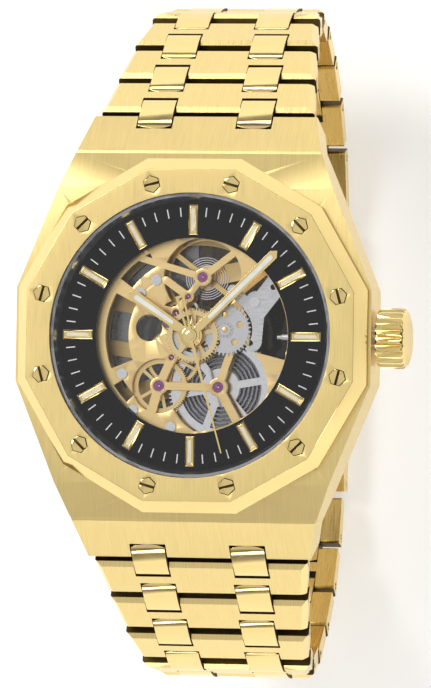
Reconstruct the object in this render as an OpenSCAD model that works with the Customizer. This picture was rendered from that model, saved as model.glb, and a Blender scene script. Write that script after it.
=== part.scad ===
// Skeleton wristwatch on a closed metal bracelet, standing on its clasp with the dial up.
// +Z is out of the dial, +Y is towards 12 o'clock, +X is towards the crown. Millimetres.

/* [Case] */
// Width of the case across its flats, without the crown
case_w = 43; // [42.6:0.1:44]
// Height of the dial face above the clasp's resting face
dial_z = 60; // [59.9:0.05:60.1]
// Half length of the case from the hand axis to the end link
case_l = 21.8; // [21.4:0.1:22]
// Radius of the opening in the bezel
bezel_bore = 16.95; // [16.7:0.05:17.2]
// Distance across the flats of the bezel's top face
bezel_top_af = 39.5; // [39:0.1:40]

/* [Dial] */
// Inner radius of the dial ring
dial_ri = 11.65; // [11.2:0.05:11.8]
// Outer radius of the hour markers
marker_ro = 15.6; // [15.2:0.1:15.8]
// Length of an hour marker
marker_l = 3.62; // [3:0.02:3.7]
// Width of an hour marker
marker_w = 1.16; // [0.9:0.02:1.4]

/* [Hands] */
// Length of the minute hand from its axis
minute_l = 14.5; // [12:0.1:14.9]
// Length of the hour hand from its axis
hour_l = 9.2; // [8:0.1:10.5]
// Length of the seconds hand from its axis
seconds_l = 14.5; // [12:0.1:15]

/* [Bracelet] */
// Distance between link pins
pitch = 7.1; // [7.1:0.01:7.1]
// Half thickness of a link
th = 1.4; // [1.25:0.05:1.4]
// Radius of a link pin
pin_r = 0.5; // [0.4:0.05:0.55]
// Half width of a connector
con_w = 2.05; // [1.9:0.05:2.1]
// Width of the gap between two link plates
gap = 1.2; // [1.0:0.05:1.3]

/* [Crown] */
// Radius of the crown
crown_r = 3.6; // [3.2:0.1:3.7]
// Number of grooves around the crown
crown_n = 22; // [16:2:26]

/* [Hidden] */
$fn = 48;
GOLD = "goldenrod";
STEEL = "silver";

// ---- where the wheels turn, in the plane of the dial ----
J3 = [-2.65, -2.6];
S2 = [-4.123, -6.008];
BA = [3.05, -6.1];
ES = [-2.2, 2.72];
PF = [-0.733, 4.682];
BL = [1.0, 7.0];
MW = [3.9, 0.76];
POSTS = [200, 150, 112, 350, 256];
function ang(p, q) = atan2(q[1] - p[1], q[0] - p[0]);
function dist(p, q) = norm(q - p);
O = [0, 0];
// a gear's phase is the angle of one tooth. This is the phase that meshes gear 2 with gear 1, seen from gear 1 at angle psi.
function mesh_phase(ph1, z1, z2, psi) = psi + 180 - (ph1 - psi) * z1 / z2 + 180 / z2;
function gear_pts(z, m, ph) = [for (i = [0:z - 1]) for (j = [0:3])
    let (a = ph + 360 / z * (i + [-0.25, -0.1, 0.1, 0.25][j]), r = m * z / 2 + (j == 0 || j == 3 ? -1.15 * m : 0.85 * m)) r * [cos(a), sin(a)]];
M3 = 2 * norm(J3) / 85;      // second wheel and third pinion, and the minute drive wheel
M4 = 2 * norm(J3) / 90;      // third wheel and fourth pinion
MB = 2 * dist(BA, S2) / 96;  // barrel and second pinion
ME = 2 * norm(ES) / 91;      // fourth wheel and escape pinion
MC = 2 * norm(MW) / 48;      // cannon pinion and minute wheel
MH = 2 * norm(MW) / 60;      // minute pinion and hour wheel
PH_BA = ang(BA, S2);
PH_S2P = mesh_phase(PH_BA, 84, 12, ang(BA, S2));
PH_S2 = ang(S2, J3);
PH_J3P = mesh_phase(PH_S2, 75, 10, ang(S2, J3));
PH_DRV = mesh_phase(PH_J3P, 10, 75, ang(J3, O));
PH_J3 = ang(J3, O);
PH_4P = mesh_phase(PH_J3, 80, 10, ang(J3, O));
PH_4 = ang(O, ES);
PH_EP = mesh_phase(PH_4, 84, 7, ang(O, ES));
PH_CP = ang(O, MW);
PH_MW = mesh_phase(PH_CP, 12, 36, ang(O, MW));
PH_MP = ang(MW, O);
PH_HW = mesh_phase(PH_MP, 12, 48, ang(MW, O));

// ---- where the bracelet's pins are: [y, z] from the hand axis and the dial face ----
HEAD = [48, 52, 53.5, 62, 82, 101, 118, 134, 149, 165];  // heading of the end link and of links 1 to 9, below +Y
Q1 = [26.9, -9.6];
function pin_at(k) = k == 1 ? Q1 : pin_at(k - 1) + pitch * [cos(HEAD[k - 1]), -sin(HEAD[k - 1])];
WID = [13.0, 12.15, 11.3, 10.45, 9.7, 9.2, 9, 9, 9, 9];     // half width where link k starts, k from 1
CON = [6.06, 5.73, 5.36, 4.97, 4.7, 4.5, 4.4, 4.4, 4.4, 4.4]; // half spacing of the connectors at pin k, k from 1
U0 = -0.95;                  // a plate starts this far before its pin
U1 = pitch + U0 - gap;       // and ends here
module on_dial() translate([0, 0, dial_z]) children();
module side_12() children();
module side_6() mirror([0, 1, 0]) children();
module at_pin(k) translate([0, pin_at(k)[0], dial_z + pin_at(k)[1]]) rotate([-HEAD[k], 0, 0]) children();
module along_x(h) rotate([90, 0, 90]) translate([0, 0, -h / 2]) linear_extrude(h) children();
module rod_x(r, h) rotate([0, 90, 0]) cylinder(r = r, h = h, center = true);

// a wide link plate with polished bevels, from u0 to u1 along the band
module plate(wa, wb, u0, u1, c = 0.5, cs = 0.7) difference() {
    intersection() {
        translate([0, 0, -th]) linear_extrude(2 * th) polygon([[-wa, u0], [wa, u0], [wb, u1], [-wb, u1]]);
        along_x(60) polygon([[u0 + 0.3, -th], [u1 - 0.3, -th], [u1, -th + 0.3], [u1, th - c], [u1 - c, th], [u0 + c, th], [u0, th - c], [u0, -th + 0.3]]);
    }
    for (s = [-1, 1]) translate([s * wa, u0, th]) rotate([0, 0, s * atan((wa - wb) / (u1 - u0))]) rotate([0, 45, 0]) cube([cs * 1.4142, 40, cs * 1.4142], center = true);
}
// a connector's side view, with its far pin at u = 0
module con_profile(back) union() {
    polygon([[back, -th + 0.15], [0, -th + 0.15], [0, 0], [1.25, 0], [1.25, th - 0.25], [0.85, th + 0.02], [0, th + 0.2], [-1.5, th + 0.28], [-3, th + 0.2], [back + 0.4, th + 0.02], [back, th - 0.25]]);
    circle(r = th - 0.15);
}
// the two connectors that carry pin k+1. Their back end is seated in their own plate.
module connector() difference() {
    intersection() {
        along_x(2 * con_w) con_profile(-4.25);
        translate([0, 1.25 - 6.2, -3]) cylinder(r = 6.2, h = 6, $fn = 64);
        translate([0, -4.25 + 6.2, -3]) cylinder(r = 6.2, h = 6, $fn = 64);
    }
    rod_x(pin_r + 0.05, 3 * con_w);
}
module connectors(k) for (s = [-1, 1]) translate([s * CON[k], pitch, 0]) connector();
// the notches in a plate: its own connectors sit in one pair, and the last link's turn in the other
module own_notch(k) for (s = [-1, 1]) translate([s * CON[k] - con_w - 0.12, pitch - 4.4, -5]) cube([2 * con_w + 0.24, 9, 10]);
// the fixed pin that holds a plate's own connectors
module fixed_pin(w) translate([0, pitch - 3.3, 0]) rod_x(0.5, w);
module turn_notch(k) for (s = [-1, 1]) translate([s * CON[k - 1] - con_w - 0.12, -9, -5]) cube([2 * con_w + 0.24, 9 + 1.38, 10]);
module link(k) color(GOLD) at_pin(k) {
    difference() {
        plate(WID[k - 1], WID[k], U0, U1);
        own_notch(k);
        turn_notch(k);
        rod_x(pin_r, 60);
    }
    connectors(k);
    fixed_pin(2 * WID[k] - 2.2);
    rod_x(pin_r, 2 * WID[k - 1] - 1.2);
}
// link 9 on the 12 side ends in a full-width end piece, slotted for the short blade
module last_link() color(GOLD) at_pin(9) {
    difference() {
        plate(9, 9, U0, pitch + 1.2);
        turn_notch(9);
        rod_x(pin_r, 60);
        translate([-3.1, pitch - 2.2, -5]) cube([6.2, 9, 10]);
        translate([0, pitch, 0]) rod_x(pin_r, 60);
    }
    rod_x(pin_r, 16.8);
    translate([0, pitch, 0]) rod_x(pin_r, 16.8);
}
// a frame whose pin is pin 1, along the end link's heading
module end_seat() translate([0, pin_at(1)[0], dial_z + pin_at(1)[1]]) rotate([-HEAD[0], 0, 0]) translate([0, -pitch, 0]) children();
module end_cons() color(GOLD) end_seat() {
    for (s = [-1, 1]) translate([s * CON[0], pitch, 0]) connector();
    translate([0, pitch - 3.3, -0.6]) rod_x(0.5, 20);
}
module own_notch0() end_seat() own_notch(0);
module end_link_full() {
    color(GOLD) difference() {
        intersection() {
            translate([0, 0, dial_z - 16]) linear_extrude(16) polygon([[-14.9, case_l], [14.9, case_l], [13.35, 27], [-13.35, 27]]);
            on_dial() along_x(60) polygon([[case_l, -2.7], [22.2, -2.8], [26.45, -6.9], [26.5, -7.5], [24.4, -9.85], [case_l, -7.1]]);
        }
        own_notch0();
    }
    end_cons();
}

// ---- case ----
module outline(d) polygon([[case_w / 2 - d, -5.6], [case_w / 2 - d, 5.6], [14.95 - d, case_l], [-14.95 + d, case_l], [-case_w / 2 + d, 5.6], [-case_w / 2 + d, -5.6], [-14.95 + d, -case_l], [14.95 - d, -case_l]]);
SCREW_R = 18.55;
module screw_ring() for (i = [0:11]) rotate(15 + 30 * i) translate([SCREW_R, 0, 0]) children();
module case_middle() color(GOLD) on_dial() difference() {
    intersection() {
        translate([0, 0, -7.6]) linear_extrude(6.8) outline(0);
        along_x(60) polygon([[-case_l, -2.7], [-17.6, -0.8], [17.6, -0.8], [case_l, -2.7], [case_l, -7.0], [18, -7.6], [-18, -7.6], [-case_l, -7.0]]);
    }
    translate([0, 0, -9]) cylinder(r = 16.3, h = 10, $fn = 96);
    translate([20, 0, -3.9]) rod_x(1.4, 12);
    screw_ring() translate([0, 0, -2.6]) cylinder(r = 0.5, h = 3, $fn = 24);
}
module bezel() color(GOLD) on_dial() {
    b = 35.9;
    difference() {
        translate([0, 0, -0.55]) rotate(15) cylinder(r = 21.1 / cos(15), h = 2.25, $fn = 12);
        for (i = [0:11]) rotate(30 * i) translate([bezel_top_af / 2 + 1.36, 0, -0.18]) rotate([0, -b, 0]) translate([0, -10, 0]) cube([6, 20, 6]);
        translate([0, 0, -2]) cylinder(r = bezel_bore, h = 5, $fn = 96);
        screw_ring() translate([0, 0, -2]) cylinder(r = 0.5, h = 5, $fn = 24);
        screw_ring() translate([0, 0, 1.0]) cylinder(r = 1.06, h = 2, $fn = 6);
    }
}
module bezel_gasket() color("black") on_dial() difference() {
    translate([0, 0, -0.8]) rotate(15) cylinder(r = 20.7 / cos(15), h = 0.25, $fn = 12);
    translate([0, 0, -2]) cylinder(r = bezel_bore, h = 5, $fn = 96);
    screw_ring() translate([0, 0, -2]) cylinder(r = 0.5, h = 5, $fn = 24);
    for (s = [-1, 1]) translate([-30, s > 0 ? 17.6 : -17.6 - 10, -2]) cube([60, 10, 4]);
}
module bezel_screws() color(GOLD) on_dial() screw_ring() difference() {
    union() {
        translate([0, 0, 1.0]) cylinder(r = 1.0, h = 0.85, $fn = 6);
        translate([0, 0, -2.5]) cylinder(r = 0.48, h = 3.5, $fn = 24);
    }
    translate([-0.16, -2, 1.55]) cube([0.32, 4, 1]);
}
module crystal() color("lightcyan", 0.3) on_dial() translate([0, 0, 1.2]) cylinder(r = bezel_bore - 0.03, h = 0.55, $fn = 96);
module rehaut_ring() color("dimgray") on_dial() rotate_extrude($fn = 96) polygon([[16.05, 0], [16.9, 0], [16.9, 1.2], [16.55, 1.2]]);
module dial_ring() color("black") on_dial() translate([0, 0, -0.4]) difference() {
    cylinder(r = 16.25, h = 0.4, $fn = 96);
    translate([0, 0, -1]) cylinder(r = dial_ri, h = 3, $fn = 96);
}
// an applied baton with bevelled sides
module baton(r0, l, w, h) translate([-w / 2, r0, 0]) intersection() {
    cube([w, l, h]);
    along_x(20) polygon([[0, -1], [l, -1], [l, h - 0.15], [l - 0.2, h], [0.2, h], [0, h - 0.15]]);
    translate([0, l + 1, 0]) rotate([90, 0, 0]) linear_extrude(l + 2) polygon([[0, -1], [w, -1], [w, h - 0.2], [w - 0.25, h], [0.25, h], [0, h - 0.2]]);
}
module hour_markers() color(GOLD) on_dial() for (i = [0:11]) rotate(30 * i) difference() {
    baton(marker_ro - marker_l, marker_l, marker_w, 0.36);
    translate([-0.24, marker_ro - marker_l + 0.4, 0.28]) cube([0.48, marker_l - 0.8, 1]);
}
module case_back() color(GOLD) on_dial() difference() {
    union() {
        translate([0, 0, -9.3]) cylinder(r1 = 17.2, r2 = 18.0, h = 1.7, $fn = 96);
        translate([0, 0, -7.6]) cylinder(r = 16.25, h = 0.9, $fn = 96);
    }
    translate([0, 0, -10]) cylinder(r = 12.6, h = 5, $fn = 96);
    translate([0, 0, -8.9]) cylinder(r = 13.2, h = 4, $fn = 96);
    for (i = [0:5]) rotate(60 * i) translate([15.6, 0, -9.8]) cylinder(r = 0.7, h = 1, $fn = 24);
}
module case_back_window() color("lightcyan", 0.3) on_dial() translate([0, 0, -8.9]) cylinder(r = 13.17, h = 1.0, $fn = 96);
module movement_holder() color("dimgray") on_dial() difference() {
    translate([0, 0, -6.6]) cylinder(r = 16.2, h = 6.2, $fn = 96);
    translate([0, 0, -9]) cylinder(r = 12.9, h = 12, $fn = 96);
    translate([15, 0, -3.9]) rod_x(0.75, 8);
    translate([BA[0], BA[1], -4.7]) cylinder(r = 6.6, h = 1.8, $fn = 64);
}
module crown_tube() color(STEEL) on_dial() difference() {
    translate([20.1, 0, -3.9]) rod_x(1.4, 5.2);
    translate([20, 0, -3.9]) rod_x(0.65, 12);
}

// ---- movement ----
module bar(p, q, w) {
    translate(p) circle(d = w);
    translate(q) circle(d = w);
    translate(p) rotate(ang(p, q)) translate([0, -w / 2]) square([dist(p, q), w]);
}
module sector(r0, r1, a0, a1) difference() {
    intersection() {
        circle(r = r1, $fn = 96);
        polygon([[0, 0], 20 * [cos(a0), sin(a0)], 20 * [cos((a0 + a1) / 2), sin((a0 + a1) / 2)], 20 * [cos(a1), sin(a1)]]);
    }
    circle(r = r0, $fn = 96);
}
module round_sector(r0, r1, a0, a1) {
    w = (r1 - r0) / 2;
    rm = (r0 + r1) / 2;
    sector(r0, r1, a0, a1);
    for (a = [a0, a1]) translate(rm * [cos(a), sin(a)]) circle(r = w);
}
function pol(r, a) = r * [cos(a), sin(a)];
JEWELS = [[S2, 0.66], [BA, 0.66], [J3, 0.36], [ES, 0.42], [PF, 0.34], [BL, 0.62]];
module mainplate2d() difference() {
    union() {
        difference() {
            circle(r = 12.9, $fn = 96);
            sector(7.9, 10.7, 152, 202);
            sector(9.4, 11.2, 119, 143);
            sector(10.0, 11.3, 212, 225);
            translate(BL) circle(r = 4.7);
            translate(S2) circle(r = 3.25);
            intersection() {
                translate(BA) circle(r = 6.0);
                circle(r = 11.4, $fn = 96);
            }
            sector(6.8, 11.4, -14, 40);
            translate([-5.4, 0.9]) circle(r = 1.6);
            translate([-2.2, 2.3]) circle(r = 1.9);
        }
        // arms over the balance
        bar(BL, pol(12, 128), 0.8);
        bar(BL, pol(12, 62), 0.8);
        bar(BL, PF, 0.7);
        translate(BL) circle(r = 1.05);
        // arms over the wheels and the barrel
        bar(S2, [-1.9, -1.0], 1.0);
        bar(S2, BA, 0.9);
        bar(S2, pol(11.9, 243), 1.1);
        bar(BA, [5.2, 0.1], 0.9);
        bar(BA, pol(12, 298), 1.0);
        translate(S2) circle(r = 1.05);
        translate(BA) circle(r = 1.1);
        bar(ES, [-5.6, 3.6], 1.0);
        bar(ES, PF, 0.9);
        bar(PF, [-3.4, 6.6], 0.9);
        translate(ES) circle(r = 0.8);
        translate(PF) circle(r = 0.7);
    }
    circle(r = 0.74);
    for (j = JEWELS) translate(j[0]) circle(r = j[1]);
}
PLATE_SCREWS = [[7.4, 4.1], [10.8, -5], [-7.24, -8.94], [-6.46, 5.05], [-2.6, -10.9], [-8.6, -4.6], [3.4, 11.8], [-4.6, 6.6]];
module mainplate() color(GOLD) on_dial() {
    difference() {
        union() {
            translate([0, 0, -2.0]) linear_extrude(0.8) mainplate2d();
            for (a = POSTS) translate([pol(11.9, a)[0], pol(11.9, a)[1], -4.6]) cylinder(r = 0.7, h = 2.7);
            translate([8.3, 8.6, -4.1]) cylinder(r = 0.7, h = 2.2);
            translate([MW[0], MW[1], -2.0]) cylinder(r = 0.3, h = 1.55, $fn = 24);
        }
        for (i = [1:7]) translate([PLATE_SCREWS[i][0], PLATE_SCREWS[i][1], -1.6]) cylinder(r = 0.45, h = 2, $fn = 24);
    }
}
module jewels() color("purple") on_dial() {
    for (j = JEWELS) translate([j[0][0], j[0][1], -1.75]) difference() {
        cylinder(r = j[1], h = 0.4, $fn = 32);
        translate([0, 0, -1]) cylinder(r = 0.13, h = 3, $fn = 24);
        translate([0, 0, 0.3]) cylinder(r1 = 0.13, r2 = 0.3, h = 0.11, $fn = 24);
    }
    for (p = [S2, BA, J3, ES, PF]) translate([p[0], p[1], -5.1]) difference() {
        cylinder(r = 0.36, h = 0.35, $fn = 32);
        translate([0, 0, -1]) cylinder(r = 0.13, h = 3, $fn = 24);
    }
    translate([BL[0], BL[1], -4.5]) difference() {
        cylinder(r = 0.5, h = 0.3, $fn = 32);
        translate([0, 0, -1]) cylinder(r = 0.13, h = 3, $fn = 24);
    }
}
module keyless_cover() color(STEEL) on_dial() translate([0, 0, -1.2]) linear_extrude(0.22) difference() {
    intersection() {
        circle(r = 12.8, $fn = 96);
        union() {
        bar([7.1, -0.6], [7.5, 4.2], 2.4);
        bar([7.3, 2.8], [9.9, 6.2], 2.6);
        bar([7.4, 3.0], [4.7, 5.5], 1.3);
        }
    }
    for (p = [[7.4, 4.1], [6.9, -0.8]]) translate(p) circle(r = 0.35, $fn = 24);
    translate(MW) circle(r = 3.25);
    translate([9.6, 5.9]) circle(r = 0.35, $fn = 24);
}
module plate_screws() color(STEEL) on_dial() for (i = [0:7]) translate([PLATE_SCREWS[i][0], PLATE_SCREWS[i][1], i == 0 ? -0.98 : -1.2]) difference() {
    union() {
        cylinder(r = i == 0 ? 0.6 : 0.62, h = 0.22, $fn = 32);
        translate([0, 0, i == 0 ? -0.5 : -0.35]) cylinder(r = i == 0 ? 0.33 : 0.42, h = 0.6, $fn = 24);
    }
    rotate(40 * i) translate([-1, -0.08, 0.12]) cube([2, 0.16, 1]);
}
module train_bridge() color(GOLD) on_dial() difference() {
    union() {
        translate([0, 0, -5.2]) linear_extrude(0.6) difference() {
            intersection() {
                circle(r = 12.75, $fn = 96);
                union() {
                difference() {
                    circle(r = 13.5, $fn = 96);
                    circle(r = 10.9, $fn = 96);
                }
                bar(BA, pol(11.8, 270), 3.0);
                bar(BA, pol(11.8, 330), 3.0);
                bar(S2, pol(11.8, 222), 3.0);
                bar(S2, BA, 1.8);
                bar(S2, J3, 1.6);
                bar(J3, O, 2.4);
                bar(O, BA, 2.4);
                bar(J3, pol(11.8, 186), 1.8);
                bar(ES, pol(11.8, 160), 1.8);
                bar(ES, PF, 1.1);
                }
            }
            for (p = [S2, BA, J3, ES, PF]) translate(p) circle(r = 0.36, $fn = 32);
            circle(r = 0.24, $fn = 24);
        }
        translate([0, 0, -6.3]) difference() {
            cylinder(r = 0.7, h = 1.2);
            translate([0, 0, -1]) cylinder(r = 0.24, h = 4, $fn = 24);
        }
    }
}
module balance_cock() color(GOLD) on_dial() translate([0, 0, -4.55]) linear_extrude(0.45) difference() {
    intersection() {
        circle(r = 12.75, $fn = 96);
        union() {
        bar(BL, [8.3, 8.6], 2.2);
        translate(BL) circle(r = 1.5);
        translate([8.3, 8.6]) circle(r = 1.7);
        }
    }
    translate(BL) circle(r = 0.5, $fn = 32);
}
// ---- wheels ----
module wheel(z, m, ph, t, n, rim, hub, sp) linear_extrude(t) difference() {
    polygon(gear_pts(z, m, ph));
    if (n > 0) difference() {
        circle(r = m * z / 2 - 1.15 * m - rim);
        circle(r = hub);
        for (i = [0:n - 1]) rotate(ph + 360 / n * i) translate([0, -sp / 2]) square([20, sp]);
    }
}
module arbor(zlo, zhi, body_lo, body_hi, r) {
    translate([0, 0, zlo]) cylinder(r = 0.1, h = zhi - zlo, $fn = 24);
    translate([0, 0, body_lo]) cylinder(r = r, h = body_hi - body_lo, $fn = 24);
}
module at2(p) on_dial() translate([p[0], p[1], 0]) children();
module bore(r) translate([0, 0, -20]) cylinder(r = r, h = 40, $fn = 32);
module hour_wheel() color(GOLD) on_dial() difference() {
    union() {
        translate([0, 0, -0.8]) wheel(48, MH, PH_HW, 0.18, 5, 0.55, 1.45, 0.5);
        translate([0, 0, -0.8]) cylinder(r = 1.0, h = 1.1);
    }
    bore(0.72);
}
module cannon_pinion() color(GOLD) on_dial() difference() {
    union() {
        translate([0, 0, -1.15]) linear_extrude(0.27) polygon(gear_pts(12, MC, PH_CP));
        translate([0, 0, -2.4]) cylinder(r = 0.7, h = 3.02);
        translate([0, 0, -2.35]) wheel(75, M3, PH_DRV, 0.15, 5, 0.4, 1.1, 0.4);
    }
    bore(0.24);
}
module fourth_wheel() color(GOLD) on_dial() union() {
    translate([0, 0, -6.0]) cylinder(r = 0.2, h = 6.95, $fn = 24);
    translate([0, 0, -2.85]) linear_extrude(0.35) polygon(gear_pts(10, M4, PH_4P));
    translate([0, 0, -2.98]) wheel(84, ME, PH_4, 0.13, 5, 0.35, 0.8, 0.35);
}
module minute_wheel() color(GOLD) at2(MW) difference() {
    union() {
        translate([0, 0, -1.12]) linear_extrude(0.17) polygon(gear_pts(36, MC, PH_MW));
        translate([0, 0, -0.96]) linear_extrude(0.42) polygon(gear_pts(12, MH, PH_MP));
    }
    bore(0.33);
    for (i = [0:4]) rotate(72 * i + 20) translate([1.85, 0, -5]) cylinder(r = 0.42, h = 10, $fn = 24);
}
module third_wheel() color(GOLD) at2(J3) {
    union() {
        arbor(-5.0, -1.45, -4.55, -2.1, 0.2);
        translate([0, 0, -2.45]) linear_extrude(0.35) polygon(gear_pts(10, M3, PH_J3P));
        translate([0, 0, -2.75]) wheel(80, M4, PH_J3, 0.15, 5, 0.35, 0.6, 0.35);
    }
}
module second_wheel() color(GOLD) at2(S2) {
    union() {
        arbor(-5.0, -1.45, -4.55, -2.1, 0.25);
        translate([0, 0, -3.5]) linear_extrude(0.42) polygon(gear_pts(12, MB, PH_S2P));
        translate([0, 0, -2.35]) wheel(75, M3, PH_S2, 0.15, 5, 0.5, 0.75, 0.38);
    }
}
module barrel() color(STEEL) at2(BA) {
    difference() {
        union() {
            translate([0, 0, -3.45]) linear_extrude(0.3) polygon(gear_pts(84, MB, PH_BA));
            translate([0, 0, -4.5]) cylinder(r = 5.9, h = 1.28);
        }
        translate([0, 0, -4.35]) cylinder(r = 5.6, h = 3);
        bore(0.7);
    }
    difference() {
        translate([0, 0, -3.2]) cylinder(r = 5.9, h = 0.13);
        translate([0, 0, -4]) linear_extrude(2) difference() {
            circle(r = 4.95);
            circle(r = 2.3);
            for (i = [0:5]) rotate(60 * i + 10) translate([0, -0.45]) square([20, 0.9]);
        }
        bore(0.7);
    }
    union() {
        arbor(-5.0, -1.45, -4.55, -2.1, 0.68);
    }
}
function spiral_pts(r0, r1, turns, n, w) = concat(
    [for (i = [0:n * turns]) let (a = 360 * i / n, r = r0 + (r1 - r0) * i / (n * turns)) (r + w) * [cos(a), sin(a)]],
    [for (j = [0:n * turns]) let (i = n * turns - j, a = 360 * i / n, r = r0 + (r1 - r0) * i / (n * turns)) r * [cos(a), sin(a)]]);
module mainspring() color("slategray") at2(BA) translate([0, 0, -4.32]) linear_extrude(1.05) polygon(spiral_pts(0.75, 5.3, 9, 20, 0.2));
module escape_wheel() color(GOLD) at2(ES) {
    union() {
        arbor(-5.0, -1.45, -4.55, -2.42, 0.12);
        translate([0, 0, -3.05]) linear_extrude(0.24) polygon(gear_pts(7, ME, PH_EP));
        translate([0, 0, -3.35]) linear_extrude(0.15) difference() {
            polygon([for (i = [0:19]) for (j = [0:3]) let (a = 18 * i + [0, 2.5, 9, 15][j], r = [1.9, 1.86, 1.5, 1.5][j]) r * [cos(a), sin(a)]]);
            difference() {
                circle(r = 1.2);
                circle(r = 0.42);
                for (i = [0:3]) rotate(90 * i) translate([0, -0.13]) square([5, 0.26]);
            }
        }
    }
}
module pallet_fork() color(STEEL) at2(PF) rotate(ang(PF, BL)) {
    union() {
        arbor(-5.0, -1.45, -4.55, -2.2, 0.12);
        translate([0, 0, -3.35]) linear_extrude(0.15) {
            bar([0, 0], [1.75, 0], 0.34);
            bar([1.75, 0], [2.0, 0.3], 0.14);
            bar([1.75, 0], [2.0, -0.3], 0.14);
            bar([0, 0], [-0.5, 1.35], 0.3);
            bar([0, 0], [-0.5, -1.35], 0.3);
        }
    }
}
module balance_wheel() color(GOLD) at2(BL) {
    union() {
        arbor(-4.42, -1.45, -4.08, -2.2, 0.22);
        translate([0, 0, -3.48]) cylinder(r = 0.55, h = 0.3, $fn = 32);
        translate([0, 0, -3.9]) linear_extrude(0.4) difference() {
            circle(r = 4.95, $fn = 96);
            circle(r = 4.4, $fn = 96);
        }
        translate([0, 0, -3.8]) linear_extrude(0.2) union() {
            circle(r = 0.9);
            rotate(ang(BL, PF) + 90) translate([-4.5, -0.3]) square([9, 0.6]);
        }
    }
}
module hairspring() color("steelblue") at2(BL) translate([0, 0, -4.04]) linear_extrude(0.1) polygon(spiral_pts(0.35, 2.6, 8, 20, 0.09));
module rotor() color(GOLD) on_dial() {
    difference() {
        union() {
            translate([0, 0, -6.0]) linear_extrude(0.3) difference() {
                union() {
                    sector(0.1, 12.4, 92, 268);
                    circle(r = 2.2);
                }
                round_sector(4.6, 7.8, 120, 150);
                round_sector(4.6, 7.8, 210, 240);
                round_sector(4.6, 7.8, 172, 188);
            }
            translate([0, 0, -6.7]) linear_extrude(0.95) sector(9.9, 12.4, 92, 268);
            translate([0, 0, -6.3]) cylinder(r = 1.7, h = 0.7);
        }
        bore(0.74);
    }
}
// ---- hands, each drawn pointing to 12 ----
module hand(l, w0, w1, r, hole, t, zz, tail) translate([0, 0, zz]) linear_extrude(t) difference() {
    union() {
        circle(r = r);
        polygon([[-w0 * 0.3, 0], [w0 * 0.3, 0], [w0 / 2, r + 0.5], [w1 / 2, l - w1 * 0.55], [0, l], [-w1 / 2, l - w1 * 0.55], [-w0 / 2, r + 0.5]]);
    }
    circle(r = hole);
}
A_MIN = 45.4;
A_HOUR = 303.8;
A_SEC = 164.2;
module hour_hand() color(GOLD) on_dial() rotate(-A_HOUR) hand(hour_l, 1.0, 1.3, 1.35, 0.72, 0.18, 0.3, 0);
module minute_hand() color(GOLD) on_dial() rotate(-A_MIN) hand(minute_l, 0.95, 1.15, 1.1, 0.5, 0.16, 0.62, 0);
module seconds_hand() color(GOLD) on_dial() rotate(-A_SEC) translate([0, 0, 0.95]) linear_extrude(0.1) union() {
    circle(r = 0.75);
    polygon([[-0.17, 0.2], [0.17, 0.2], [0.08, seconds_l], [-0.08, seconds_l]]);
    difference() {
        polygon([[-0.3, -0.2], [0.3, -0.2], [0.55, -4.9], [-0.55, -4.9]]);
        polygon([[-0.12, -1.1], [0.12, -1.1], [0.3, -4.6], [-0.3, -4.6]]);
    }
}

// ---- crown and stem ----
module crown() color(GOLD) on_dial() translate([0, 0, -3.9]) difference() {
    rotate([0, 90, 0]) rotate_extrude() polygon([[1.5, 21.95], [crown_r - 0.3, 21.95], [crown_r, 22.25], [crown_r, 25.0], [crown_r - 0.45, 25.45], [crown_r - 1.2, 25.7], [0, 25.8], [0, 24.2], [1.75, 24.2], [1.75, 22.0]]);
    for (i = [0:crown_n - 1]) rotate([360 / crown_n * i, 0, 0]) translate([23.4, 0, crown_r]) rotate([45, 0, 0]) cube([3.6, 0.6, 0.6], center = true);
}
module winding_stem() color(STEEL) on_dial() translate([0, 0, -3.9]) {
    union() {
        translate([16.95, 0, 0]) rod_x(0.45, 14.5);
        translate([10.9, 0, 0]) rod_x(0.65, 1.2);
    }
}
module crown_gasket() color("black") on_dial() translate([22.5, 0, -3.9]) difference() {
    rod_x(1.72, 0.5);
    rod_x(1.43, 3);
}

// ---- clasp, between the two pins numbered 10 ----
Y10 = pin_at(10)[0];
Z10 = dial_z + pin_at(10)[1];
module clasp_cover() color(GOLD) difference() {
    union() {
        intersection() {
            translate([-9.2, -Y10 + U0, 0]) cube([18.4, Y10 - U0 + 15.3, 4.3]);
            along_x(60) polygon([[-Y10 + U0, 0.9], [-Y10 + U0 + 0.9, 0], [14.6, 0], [15.3, 0.7], [15.3, 3.2], [13.5, 4.3], [-14, 4.3], [-Y10 + U0, 3.4]]);
            translate([0, 30, 0]) rotate([90, 0, 0]) linear_extrude(60) polygon([[-8.6, 0], [8.6, 0], [9.2, 0.6], [9.2, 3.9], [8.8, 4.3], [-8.8, 4.3], [-9.2, 3.9], [-9.2, 0.6]]);
        }
    }
    translate([-8.1, -14.2, 1.1]) cube([16.2, 40, 9]);
    for (s = [-1, 1]) translate([s * CON[9] - con_w - 0.12, -30, -5]) cube([2 * con_w + 0.24, 30 - Y10 + 1.38, 15]);
    translate([0, -Y10, Z10]) rod_x(pin_r, 60);
    translate([0, 13.4, 2.2]) rod_x(0.45, 60);
    translate([-3.2, 14, -1]) cube([6.4, 5, 9]);
}
module clasp_pins() {
    translate([0, -Y10, Z10]) rod_x(pin_r, 17.2);
    translate([0, 13.4, 2.2]) rod_x(0.45, 17.8);
}
module clasp_long_blade() color(GOLD) difference() {
    union() {
        translate([-6.4, -12.6, 1.7]) cube([12.8, 26.0, 1.0]);
        translate([0, 13.4, 2.2]) rod_x(1.0, 12.8);
        for (s = [-1, 1]) translate([s * 5.2, -12.6, 3.0]) rod_x(1.0, 2.4);
        for (s = [-1, 1]) translate([s * 5.2 - 1.2, -13.6, 1.7]) cube([2.4, 2, 1.3]);
    }
    translate([0, 13.4, 2.2]) rod_x(0.5, 60);
    translate([0, -12.6, 3.2]) rod_x(0.45, 60);
    translate([-3.9, -20, 0]) cube([7.8, 8.8, 9]);
}
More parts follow.
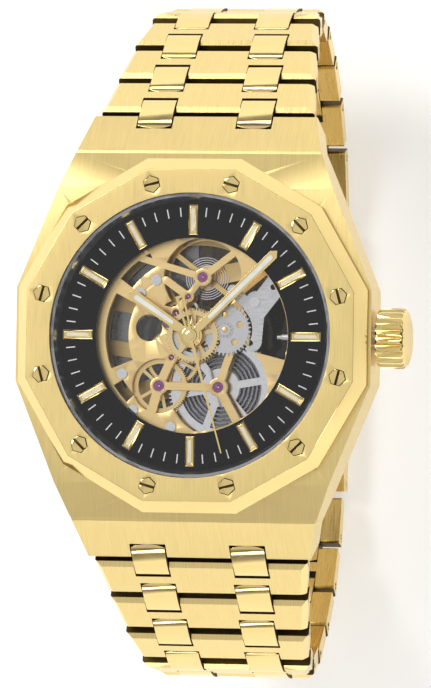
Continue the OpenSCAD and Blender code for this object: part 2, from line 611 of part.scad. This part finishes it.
module clasp_short_blade() color(GOLD) difference() {
    union() {
        translate([-3.7, -12.6, 3.3]) cube([7.4, 26.6, 0.8]);
        translate([0, -12.6, 3.2]) rod_x(0.9, 7.4);
        along_x(5.6) polygon([[13, 3.3], [15.6, 3.3], [15.8, 3.5], [15.8, 3.9], [15.6, 4.1], [13, 4.1]]);
        translate([0, -12.6, 3.2]) rod_x(0.4, 12.0);
    }
}

case_middle();
bezel();
bezel_gasket();
bezel_screws();
crystal();
rehaut_ring();
dial_ring();
hour_markers();
case_back();
case_back_window();
movement_holder();
crown_tube();
mainplate();
jewels();
keyless_cover();
plate_screws();
train_bridge();
balance_cock();
hour_hand();
hour_wheel();
minute_hand();
cannon_pinion();
seconds_hand();
fourth_wheel();
minute_wheel();
third_wheel();
second_wheel();
barrel();
mainspring();
escape_wheel();
pallet_fork();
balance_wheel();
hairspring();
rotor();
crown();
winding_stem();
crown_gasket();
end_link_full();  // end_link_12
side_6() end_link_full();  // end_link_6
for (k = [1:8]) {
    link(k);
    side_6() link(k);
}
last_link();  // link_12_9
side_6() link(9);  // link_6_9
union() {
    clasp_cover();
    color(GOLD) clasp_pins();
}
clasp_long_blade();
clasp_short_blade();
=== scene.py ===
"""Looks for the skeleton wristwatch: materials, soft edges, printed ticks, pale inserts, light and camera."""

import math

import bmesh
import bpy
from mathutils import Matrix, Vector


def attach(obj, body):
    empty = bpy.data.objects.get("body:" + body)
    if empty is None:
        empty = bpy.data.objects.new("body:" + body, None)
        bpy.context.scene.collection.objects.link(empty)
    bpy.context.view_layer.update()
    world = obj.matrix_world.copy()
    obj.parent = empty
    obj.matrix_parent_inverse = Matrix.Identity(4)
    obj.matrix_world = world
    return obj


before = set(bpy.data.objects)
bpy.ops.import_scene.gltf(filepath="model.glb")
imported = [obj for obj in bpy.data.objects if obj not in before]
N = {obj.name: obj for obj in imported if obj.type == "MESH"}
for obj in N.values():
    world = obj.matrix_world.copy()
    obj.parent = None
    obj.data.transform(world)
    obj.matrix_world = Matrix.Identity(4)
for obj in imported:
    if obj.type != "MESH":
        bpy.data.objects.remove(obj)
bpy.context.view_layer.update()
MM = 0.001
ZD = 60.0


# ---------------------------------------------------------------- materials
def new_mat(name):
    m = bpy.data.materials.new(name)
    m.use_nodes = True
    t = m.node_tree
    b = next(n for n in t.nodes if n.type == "BSDF_PRINCIPLED")
    return m, t, b


def coords(t, scale):
    c = t.nodes.new("ShaderNodeTexCoord")
    mp = t.nodes.new("ShaderNodeMapping")
    mp.inputs["Scale"].default_value = scale
    t.links.new(c.outputs["Object"], mp.inputs["Vector"])
    return mp.outputs["Vector"]


def noise(t, scale, detail=3.0):
    n = t.nodes.new("ShaderNodeTexNoise")
    n.inputs["Scale"].default_value = 1.0
    n.inputs["Detail"].default_value = detail
    t.links.new(coords(t, scale), n.inputs["Vector"])
    return n.outputs["Fac"]


def spread(t, fac, lo, hi):
    r = t.nodes.new("ShaderNodeMapRange")
    r.inputs["From Min"].default_value = 0.3
    r.inputs["From Max"].default_value = 0.7
    r.inputs["To Min"].default_value = lo
    r.inputs["To Max"].default_value = hi
    t.links.new(fac, r.inputs["Value"])
    return r.outputs["Result"]


def tint(t, fac, a, b):
    r = t.nodes.new("ShaderNodeValToRGB")
    r.color_ramp.elements[0].position = 0.3
    r.color_ramp.elements[1].position = 0.7
    r.color_ramp.elements[0].color = (*a, 1)
    r.color_ramp.elements[1].color = (*b, 1)
    t.links.new(fac, r.inputs["Fac"])
    return r.outputs["Color"]


def metal(name, col, rough, grain=(400, 400, 400), swing=0.04, dark=0.93, bump=0.0):
    """Metal whose grain is noise stretched by the three scales, per metre."""
    m, t, b = new_mat(name)
    f = noise(t, grain)
    b.inputs["Metallic"].default_value = 1.0
    t.links.new(tint(t, f, [c * dark for c in col], col), b.inputs["Base Color"])
    t.links.new(spread(t, f, max(rough - swing, 0.02), rough + swing), b.inputs["Roughness"])
    if bump:
        bp = t.nodes.new("ShaderNodeBump")
        bp.inputs["Strength"].default_value = bump
        bp.inputs["Distance"].default_value = 0.00002
        t.links.new(f, bp.inputs["Height"])
        t.links.new(bp.outputs["Normal"], b.inputs["Normal"])
    return m


def ring_metal(name, col, rough, cx, cy, rings=16000):
    """Metal with circular grain round a vertical axis at cx, cy (metres)."""
    m, t, b = new_mat(name)
    c = t.nodes.new("ShaderNodeTexCoord")
    s = t.nodes.new("ShaderNodeVectorMath")
    s.operation = "SUBTRACT"
    s.inputs[1].default_value = (cx, cy, 0)
    t.links.new(c.outputs["Object"], s.inputs[0])
    k = t.nodes.new("ShaderNodeVectorMath")
    k.operation = "MULTIPLY"
    k.inputs[1].default_value = (1, 1, 0)
    t.links.new(s.outputs["Vector"], k.inputs[0])
    ln = t.nodes.new("ShaderNodeVectorMath")
    ln.operation = "LENGTH"
    t.links.new(k.outputs["Vector"], ln.inputs[0])
    n = t.nodes.new("ShaderNodeTexNoise")
    n.noise_dimensions = "1D"
    n.inputs["Scale"].default_value = rings
    n.inputs["Detail"].default_value = 2.0
    t.links.new(ln.outputs["Value"], n.inputs["W"])
    b.inputs["Metallic"].default_value = 1.0
    t.links.new(tint(t, n.outputs["Fac"], [x * 0.88 for x in col], col), b.inputs["Base Color"])
    t.links.new(spread(t, n.outputs["Fac"], rough - 0.06, rough + 0.06), b.inputs["Roughness"])
    return m


def plain(name, col, rough, spec=0.5, grain=(900, 900, 900), coat=0.0):
    m, t, b = new_mat(name)
    f = noise(t, grain)
    t.links.new(tint(t, f, [c * 0.85 for c in col], col), b.inputs["Base Color"])
    t.links.new(spread(t, f, rough * 0.9, rough * 1.1), b.inputs["Roughness"])
    b.inputs["Specular IOR Level"].default_value = spec
    b.inputs["Coat Weight"].default_value = coat
    b.inputs["Coat Roughness"].default_value = 0.05
    return m


GOLD = (0.92, 0.71, 0.30)
GOLD_WARM = (0.90, 0.64, 0.26)
gold_mirror = metal("gold_mirror", GOLD, 0.10, (500, 500, 500), 0.03, 0.97)
gold_long = metal("gold_long_grain", GOLD, 0.30, (16000, 260, 260), 0.05, 0.90, 0.25)
gold_cross = metal("gold_cross_grain", GOLD, 0.30, (260, 16000, 16000), 0.05, 0.92, 0.2)
gold_case = metal("gold_case_grain", GOLD, 0.33, (16000, 260, 260), 0.05, 0.88, 0.3)
gold_plate = metal("gold_plate", (0.80, 0.59, 0.27), 0.34, (500, 9000, 500), 0.03, 0.93)
# painted shade: the plate gilt darkened to about two thirds, a shaded copy used for the train bridge
gold_plate_shaded = metal("gold_plate_painted_shade", (0.55, 0.40, 0.18), 0.36, (500, 9000, 500), 0.03, 0.9)
gold_wheel = metal("gold_wheel", (0.86, 0.62, 0.27), 0.22, (3000, 3000, 3000), 0.05, 0.85)
steel = metal("steel_satin", (0.66, 0.66, 0.68), 0.26, (900, 9000, 900), 0.06, 0.85)
steel_dark = metal("steel_dark", (0.30, 0.30, 0.32), 0.3, (2000, 2000, 2000), 0.06, 0.8)
steel_polish = metal("steel_polish", (0.78, 0.78, 0.80), 0.12, (2000, 2000, 2000), 0.03, 0.92)
blued = metal("spring_steel", (0.36, 0.40, 0.50), 0.2, (2000, 2000, 2000), 0.04, 0.9)
black = plain("dial_black", (0.003, 0.003, 0.004), 0.3, 0.05)
flange = metal("flange_grey", (0.36, 0.36, 0.38), 0.3, (900, 900, 900), 0.03, 0.95)
holder = plain("holder_dark", (0.05, 0.05, 0.055), 0.5)
rubber = plain("gasket_black", (0.012, 0.012, 0.012), 0.7)
jewel = plain("jewel_purple", (0.22, 0.02, 0.20), 0.08, 0.8, coat=1.0)
lume = plain("insert_pale", (0.86, 0.86, 0.80), 0.45)
lume_warm = plain("insert_cream", (0.86, 0.78, 0.56), 0.4)
ink = plain("print_white", (0.82, 0.82, 0.80), 0.5)
# painted shade: near-black gold for link end walls, notches and bezel screw recesses, standing in for shade between
# parts
gap_shade = metal("gold_shadowed", (0.10, 0.065, 0.02), 0.5, (900, 900, 900), 0.05, 0.8)


def glass(name):
    m, t, b = new_mat(name)
    f = noise(t, (60, 60, 60))
    t.links.new(tint(t, f, (0.98, 0.99, 1.0), (1, 1, 1)), b.inputs["Base Color"])
    b.inputs["Roughness"].default_value = 0.02
    b.inputs["Alpha"].default_value = 0.015
    b.inputs["IOR"].default_value = 1.25
    b.inputs["Specular IOR Level"].default_value = 0.1
    return m


clear = glass("crystal_clear")
# painted shade: the clear case-back window is made dark and nearly opaque so shade shows through the movement instead
# of the pale floor
window_shade = plain("window_painted_shade", (0.012, 0.012, 0.014), 0.08, 0.5)
_b = next(n for n in window_shade.node_tree.nodes if n.type == "BSDF_PRINCIPLED")
_b.inputs["Alpha"].default_value = 0.8

LOOK = {
    "case_middle": gold_case, "bezel": gold_mirror, "bezel_gasket": rubber,
    "bezel_screws": gold_mirror, "crystal": clear, "rehaut_ring": flange,
    "dial_ring": black, "hour_markers": gold_mirror, "case_back": gold_mirror,
    "case_back_window": window_shade, "movement_holder": holder, "crown_tube": steel,
    "mainplate": gold_plate, "jewels": jewel, "keyless_cover": steel,
    "plate_screws": steel_polish, "train_bridge": gold_plate_shaded, "balance_cock": gold_plate,
    "hour_hand": gold_mirror, "minute_hand": gold_mirror, "seconds_hand": gold_mirror,
    "barrel": steel_polish, "mainspring": steel_dark, "pallet_fork": steel_polish,
    "balance_wheel": gold_wheel, "hairspring": steel_polish, "rotor": steel_dark,
    "crown": gold_mirror, "winding_stem": steel, "crown_gasket": rubber,
    "clasp_cover": gold_long, "clasp_long_blade": gold_mirror, "clasp_short_blade": gold_mirror,
    "hour_wheel": ring_metal("wheel_hour", (0.90, 0.70, 0.36), 0.22, 0, 0),
    "cannon_pinion": ring_metal("wheel_minute", (0.84, 0.62, 0.30), 0.24, 0, 0),
    "fourth_wheel": ring_metal("wheel_fourth", (0.84, 0.62, 0.30), 0.24, 0, 0),
    "minute_wheel": ring_metal("wheel_works", (0.66, 0.66, 0.68), 0.24, 0.0039, 0.00076),
    "third_wheel": ring_metal("wheel_third", (0.86, 0.62, 0.27), 0.24, -0.00265, -0.0026),
    "second_wheel": ring_metal("wheel_second", (0.88, 0.66, 0.32), 0.22, -0.004123, -0.006008),
    "escape_wheel": ring_metal("wheel_escape", (0.84, 0.62, 0.30), 0.22, -0.0022, 0.00272),
}
for side in ("12", "6"):
    LOOK["end_link_" + side] = gold_case
    for k in range(1, 10):
        LOOK["link_%s_%d" % (side, k)] = gold_long

for name, o in N.items():
    o.data.materials.clear()
    o.data.materials.append(LOOK.get(name, gold_mirror))


# ---------------------------------------------------------------- polished faces and painted-shade dark faces on the CAD pieces
def faces(o, pick, mat):
    """Gives the faces that pick(centre in mm, normal) accepts another material."""
    me = o.data
    me.materials.append(mat)
    i = len(me.materials) - 1
    for p in me.polygons:
        c = p.center
        if pick(Vector((c[0] * 1000, c[1] * 1000, c[2] * 1000 - ZD)), p.normal):
            p.material_index = i


# the flat top of the bezel carries a straight grain, and its bevels are mirror bright
faces(N["bezel"], lambda c, n: n.z > 0.99 and c.z > 1.6, gold_case)
# barrel drum dark, its spoked cover bright
faces(N["barrel"], lambda c, n: c.z < -3.25, steel_dark)
faces(N["crown"], lambda c, n: n.x > 0.8 and c.x > 25, gold_case)
HEAD = [48, 52, 53.5, 62, 82, 101, 118, 134, 149, 165]
PINS = [None, (26.9, -9.6)]
for _k in range(1, 10):
    _a = math.radians(HEAD[_k])
    PINS.append((PINS[-1][0] + 7.1 * math.cos(_a), PINS[-1][1] - 7.1 * math.sin(_a)))
PINS[0] = (26.9 - 7.1 * math.cos(math.radians(48)), -9.6 + 7.1 * math.sin(math.radians(48)))
WID = [13.3, 12.15, 11.3, 10.45, 9.7, 9.2, 9, 9, 9, 9]
CON = [6.06, 5.73, 5.36, 4.97, 4.7, 4.5, 4.4, 4.4, 4.4, 4.4]


def link_faces(o, side, k):
    """Connectors and bevels polished; end walls and notches painted near-black gold as shade between the links."""
    h = math.radians(HEAD[k])
    up = Vector((0, side * math.sin(h), math.cos(h)))
    cons = (CON[k], CON[k - 1]) if k else (CON[k],)

    along = Vector((0, side * math.cos(h), -math.sin(h)))
    y0, z0 = PINS[k]
    start = Vector((0, side * y0, z0))

    def part(c):
        """Distance along the link, above its middle plane and from its centre line."""
        d = c - start
        return d.dot(along), d.dot(up), abs(c.x)

    def bevel(c, n):
        d = n.dot(up)
        return 0.3 < d < 0.95 and abs(n.x) > 0.2

    def wall(c, n):
        return abs(n.dot(along)) > 0.8 and part(c)[1] < 1.15

    def notch(c, n):
        return abs(n.x) > 0.9 and part(c)[2] < WID[k] - 1.2 and part(c)[1] < 1.38

    def connector(c, n):
        u, v, x = part(c)
        return n.dot(up) > 0.3 and abs(x - CON[k]) < 2.06 and 2.9 < u < 8.5 and v > 1.0

    faces(o, wall, gap_shade)
    faces(o, notch, gap_shade)
    faces(o, bevel, gold_mirror)
    faces(o, connector, gold_mirror)


for side, s in (("12", 1), ("6", -1)):
    link_faces(N["end_link_" + side], s, 0)
    for k in range(1, 10):
        link_faces(N["link_%s_%d" % (side, k)], s, k)


def near_screw(c):
    """Distance to the nearest bezel screw's axis, mm."""
    a = math.degrees(math.atan2(c.y, c.x)) - 15
    a = math.radians(a - 30 * round(a / 30))
    r = math.hypot(c.x, c.y)
    return math.hypot(r * math.cos(a) - 18.55, r * math.sin(a))


# slots and recesses of the bezel screws, and the bezel round each screw, are painted near-black as shade so they read
# as dark lines
faces(N["bezel_screws"], lambda c, n: 1.5 < c.z < 1.6 or (abs(n.z) < 0.5 and 1.56 < c.z < 1.82 and near_screw(c) < 0.75), gap_shade)
faces(N["bezel"], lambda c, n: c.z < 1.69 and near_screw(c) < 1.12, gap_shade)


# ---------------------------------------------------------------- soft edges
def soften(o, w, seg=2, angle=28):
    wd = o.modifiers.new("weld", "WELD")
    wd.merge_threshold = 0.000001
    bv = o.modifiers.new("edge", "BEVEL")
    bv.width = w * MM
    bv.segments = seg
    bv.limit_method = "ANGLE"
    bv.angle_limit = math.radians(angle)
    bv.use_clamp_overlap = True
    bv.harden_normals = False
    bv.miter_outer = "MITER_ARC"
    wn = o.modifiers.new("normals", "WEIGHTED_NORMAL")
    wn.keep_sharp = True
    wn.weight = 80
    o.data.set_sharp_from_angle(angle=math.radians(24))


WIDTH = {"case_middle": 0.12, "bezel": 0.06, "crown": 0.06, "clasp_cover": 0.15,
         "hour_markers": 0.03, "hour_hand": 0.03, "minute_hand": 0.03, "bezel_screws": 0.05,
         "mainplate": 0.05, "clasp_long_blade": 0.12, "clasp_short_blade": 0.12}
for name, o in N.items():
    if name in WIDTH:
        soften(o, WIDTH[name])
    elif name.startswith(("link_", "end_link")):
        soften(o, 0.1)


# ---------------------------------------------------------------- pieces of the builder's own
def mesh_piece(name, bm, mat, body):
    me = bpy.data.meshes.new(name)
    bmesh.ops.recalc_face_normals(bm, faces=bm.faces)
    bm.to_mesh(me)
    bm.free()
    o = bpy.data.objects.new(name, me)
    bpy.context.scene.collection.objects.link(o)
    me.materials.append(mat)
    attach(o, body)
    return o


def prism(bm, pts, z0, z1):
    """A flat plate over the outline pts (mm), from z0 to z1 above the dial."""
    lo = [bm.verts.new((x * MM, y * MM, (ZD + z0) * MM)) for x, y in pts]
    hi = [bm.verts.new((x * MM, y * MM, (ZD + z1) * MM)) for x, y in pts]
    n = len(pts)
    bm.faces.new(lo[::-1])
    bm.faces.new(hi)
    for i in range(n):
        bm.faces.new((lo[i], lo[(i + 1) % n], hi[(i + 1) % n], hi[i]))


def turned(pts, clockwise):
    a = math.radians(-clockwise)
    return [(x * math.cos(a) - y * math.sin(a), x * math.sin(a) + y * math.cos(a)) for x, y in pts]


def strip(w0, w1, y0, y1, tip=0.0):
    """A long outline along +Y with rounded ends."""
    pts = []
    for i in range(7):
        a = math.pi * i / 6
        pts.append((w0 / 2 * math.cos(math.pi + a), y0 + w0 / 2 + w0 / 2 * math.sin(math.pi + a)))
    for i in range(7):
        a = math.pi * i / 6
        pts.append((w1 / 2 * math.cos(a), y1 - w1 / 2 + w1 / 2 * math.sin(a)))
    return pts


bm = bmesh.new()
for i in range(60):
    if i % 5 == 0:
        continue
    prism(bm, turned([(-0.065, 14.2), (0.065, 14.2), (0.065, 15.3), (-0.065, 15.3)], 6 * i), 0.002, 0.012)
mesh_piece("minute_ticks", bm, ink, "case")

bm = bmesh.new()
for i in range(12):
    prism(bm, turned(strip(0.44, 0.44, 12.40, 15.18), 30 * i), 0.285, 0.335)
mesh_piece("marker_inserts", bm, lume_warm, "case")

bm = bmesh.new()
prism(bm, turned(strip(0.42, 0.62, 2.6, 8.3), 303.8), 0.482, 0.505)
mesh_piece("hour_hand_insert", bm, lume, "hour")
bm = bmesh.new()
prism(bm, turned(strip(0.40, 0.56, 3.0, 13.6), 45.4), 0.782, 0.805)
mesh_piece("minute_hand_insert", bm, lume, "minute")


def lathe(bm, prof, cx=0.0, cy=0.0, n=48):
    """Turns a closed profile of (r, z) in mm about a vertical axis."""
    rings = []
    for i in range(n):
        a = 2 * math.pi * i / n
        rings.append([bm.verts.new(((cx + r * math.cos(a)) * MM, (cy + r * math.sin(a)) * MM, (ZD + z) * MM)) for r, z in prof])
    m = len(prof)
    for i in range(n):
        for j in range(m):
            bm.faces.new((rings[i][j], rings[i][(j + 1) % m], rings[(i + 1) % n][(j + 1) % m], rings[(i + 1) % n][j]))


# satin steel arc on the plate round the centre
bm = bmesh.new()
arc = [(3.05 * math.cos(math.radians(a)), 3.05 * math.sin(math.radians(a))) for a in range(176, 322, 6)]
arc += [(2.0 * math.cos(math.radians(a)), 2.0 * math.sin(math.radians(a))) for a in range(320, 174, -6)]
prism(bm, arc, -1.198, -1.16)
mesh_piece("centre_arc", bm, steel, "case")
# polished collet over the centre of the hands
bm = bmesh.new()
lathe(bm, [(0.02, 1.06), (0.55, 1.06), (0.55, 1.13), (0.40, 1.17), (0.02, 1.17)])
mesh_piece("hand_cap", bm, gold_mirror, "seconds")
# bright gold settings round the plate jewels
bm = bmesh.new()
for x, y, r in ((-4.123, -6.008, 0.66), (3.05, -6.1, 0.66), (-2.65, -2.6, 0.36), (-2.2, 2.72, 0.42), (-0.733, 4.682, 0.34), (1.0, 7.0, 0.62)):
    lathe(bm, [(r + 0.02, -1.195), (r + 0.16, -1.195), (r + 0.14, -1.17), (r + 0.04, -1.17)], x, y, 32)
mesh_piece("jewel_settings", bm, gold_mirror, "case")

# ---------------------------------------------------------------- floor, light, camera
bm = bmesh.new()
prof = [(-1.6, 0), (1.6, 0)]
v = [bm.verts.new(p) for p in ((-2, -2, -0.0002), (2, -2, -0.0002), (2, 2, -0.0002), (-2, 2, -0.0002))]
bm.faces.new(v)
me = bpy.data.meshes.new("floor")
bm.to_mesh(me)
bm.free()
floor = bpy.data.objects.new("floor", me)
bpy.context.scene.collection.objects.link(floor)
fm = plain("floor_pale", (0.97, 0.97, 0.97), 0.9, 0.1, (4, 4, 4))
fb = next(n for n in fm.node_tree.nodes if n.type == "BSDF_PRINCIPLED")
fb.inputs["Emission Color"].default_value = (1, 1, 1, 1)
fb.inputs["Emission Strength"].default_value = 0.28
me.materials.append(fm)

w = bpy.data.worlds.new("studio")
bpy.context.scene.world = w
w.use_nodes = True
t = w.node_tree
bg = t.nodes["Background"]
tc = t.nodes.new("ShaderNodeTexCoord")
sep = t.nodes.new("ShaderNodeSeparateXYZ")
t.links.new(tc.outputs["Generated"], sep.inputs["Vector"])
ramp = t.nodes.new("ShaderNodeValToRGB")
for q, level in ((0.0, 0.30), (0.50, 0.55), (0.58, 0.16), (0.70, 0.22), (0.80, 0.85), (0.90, 0.95), (0.965, 0.80), (0.985, 1.0)):
    if q == 0.0:
        e = ramp.color_ramp.elements[0]
    else:
        e = ramp.color_ramp.elements.new(q)
    e.position = q
    e.color = (level, level, level, 1)
ramp.color_ramp.elements[-1].color = (1, 1, 1, 1)
mr = t.nodes.new("ShaderNodeMapRange")
mr.inputs["From Min"].default_value = -1
mr.inputs["From Max"].default_value = 1
t.links.new(sep.outputs["Z"], mr.inputs["Value"])
t.links.new(mr.outputs["Result"], ramp.inputs["Fac"])
t.links.new(ramp.outputs["Color"], bg.inputs["Color"])
bg.inputs["Strength"].default_value = 0.72


def lamp(name, loc, size, power, aim=(0, 0, 0.05), col=(1, 1, 1)):
    L = bpy.data.lights.new(name, "AREA")
    L.shape = "RECTANGLE"
    L.size, L.size_y = size
    L.energy = power
    L.color = col
    o = bpy.data.objects.new(name, L)
    bpy.context.scene.collection.objects.link(o)
    o.location = loc
    o.rotation_euler = (Vector(aim) - Vector(loc)).to_track_quat("-Z", "Y").to_euler()
    return o


lamp("key", (-0.45, 0.35, 0.75), (0.4, 0.4), 3.4)
lamp("fill", (0.6, -0.5, 0.45), (0.2, 0.6), 1.3)
lamp("band", (0.0, -0.8, 0.25), (0.8, 0.12), 1.2)
lamp("back", (0.1, 0.85, 0.25), (0.8, 0.12), 1.2)

cam = bpy.data.cameras.new("camera")
cam.lens = 370.9
cam.sensor_width = 36
cam.clip_start = 0.01
cam.clip_end = 50
co = bpy.data.objects.new("camera", cam)
bpy.context.scene.collection.objects.link(co)
R = Matrix.Rotation(math.radians(10.54), 4, "Y") @ Matrix.Rotation(math.radians(1.24), 4, "X") @ Matrix.Rotation(math.radians(0.89), 4, "Z")
co.matrix_world = Matrix.Translation((0.1570, -0.0192, 0.8282 + 0.060)) @ R
bpy.context.scene.camera = co
bpy.context.scene.view_settings.view_transform = "Standard"
bpy.context.scene.view_settings.exposure = 0.0
